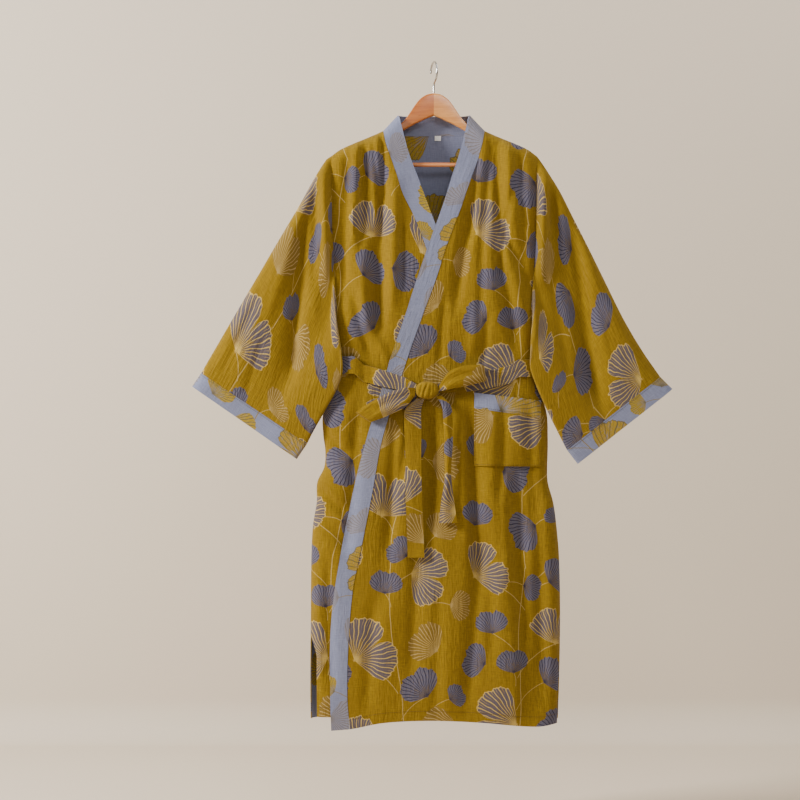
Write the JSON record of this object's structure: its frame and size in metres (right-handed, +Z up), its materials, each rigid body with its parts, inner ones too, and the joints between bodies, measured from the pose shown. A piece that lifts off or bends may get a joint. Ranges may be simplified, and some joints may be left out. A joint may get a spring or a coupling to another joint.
{
  "type": "kimono robe on a wooden hanger",
  "caption": "Wrap robe in the kimono style, mustard cloth with fan-shaped leaves and lavender bands, tied with a cloth belt in a bow, hanging on a contoured wooden hanger.",
  "frame": {"origin": "the point inside the hook's bend that rests on the rail", "axes": "+Z up along the hook's stem, -Y out of the robe's front, +X to the right as seen from the front"},
  "size_m": [0.8935, 0.0762, 1.2414],
  "materials": {
    "mustard_cloth": "matte slubby double weave with printed leaves",
    "lavender_cloth": "matte reverse of the same cloth, folded double",
    "label_cloth": "plain white tape",
    "wood": "clear lacquered orange-brown wood",
    "steel": "bright plated wire"
  },
  "bodies": {
    "root": {"back_panel": "mustard_cloth", "left_front": "mustard_cloth", "right_front": "mustard_cloth", "neckband_left": "lavender_cloth", "neckband_right": "lavender_cloth", "neckband_back": "lavender_cloth", "right_sleeve": "mustard_cloth", "left_sleeve": "mustard_cloth", "right_cuff_band": "lavender_cloth", "left_cuff_band": "lavender_cloth", "pocket": "mustard_cloth", "pocket_band": "lavender_cloth", "belt_waist": "mustard_cloth", "belt_knot": "mustard_cloth", "bow_loop_right": "mustard_cloth", "bow_loop_left": "mustard_cloth", "belt_tail_right": "mustard_cloth", "belt_tail_left": "mustard_cloth", "size_label": "label_cloth", "hanger_arms": "wood", "hanger_bar": "wood", "hanger_hook": "steel"}
  },
  "joints": []
}
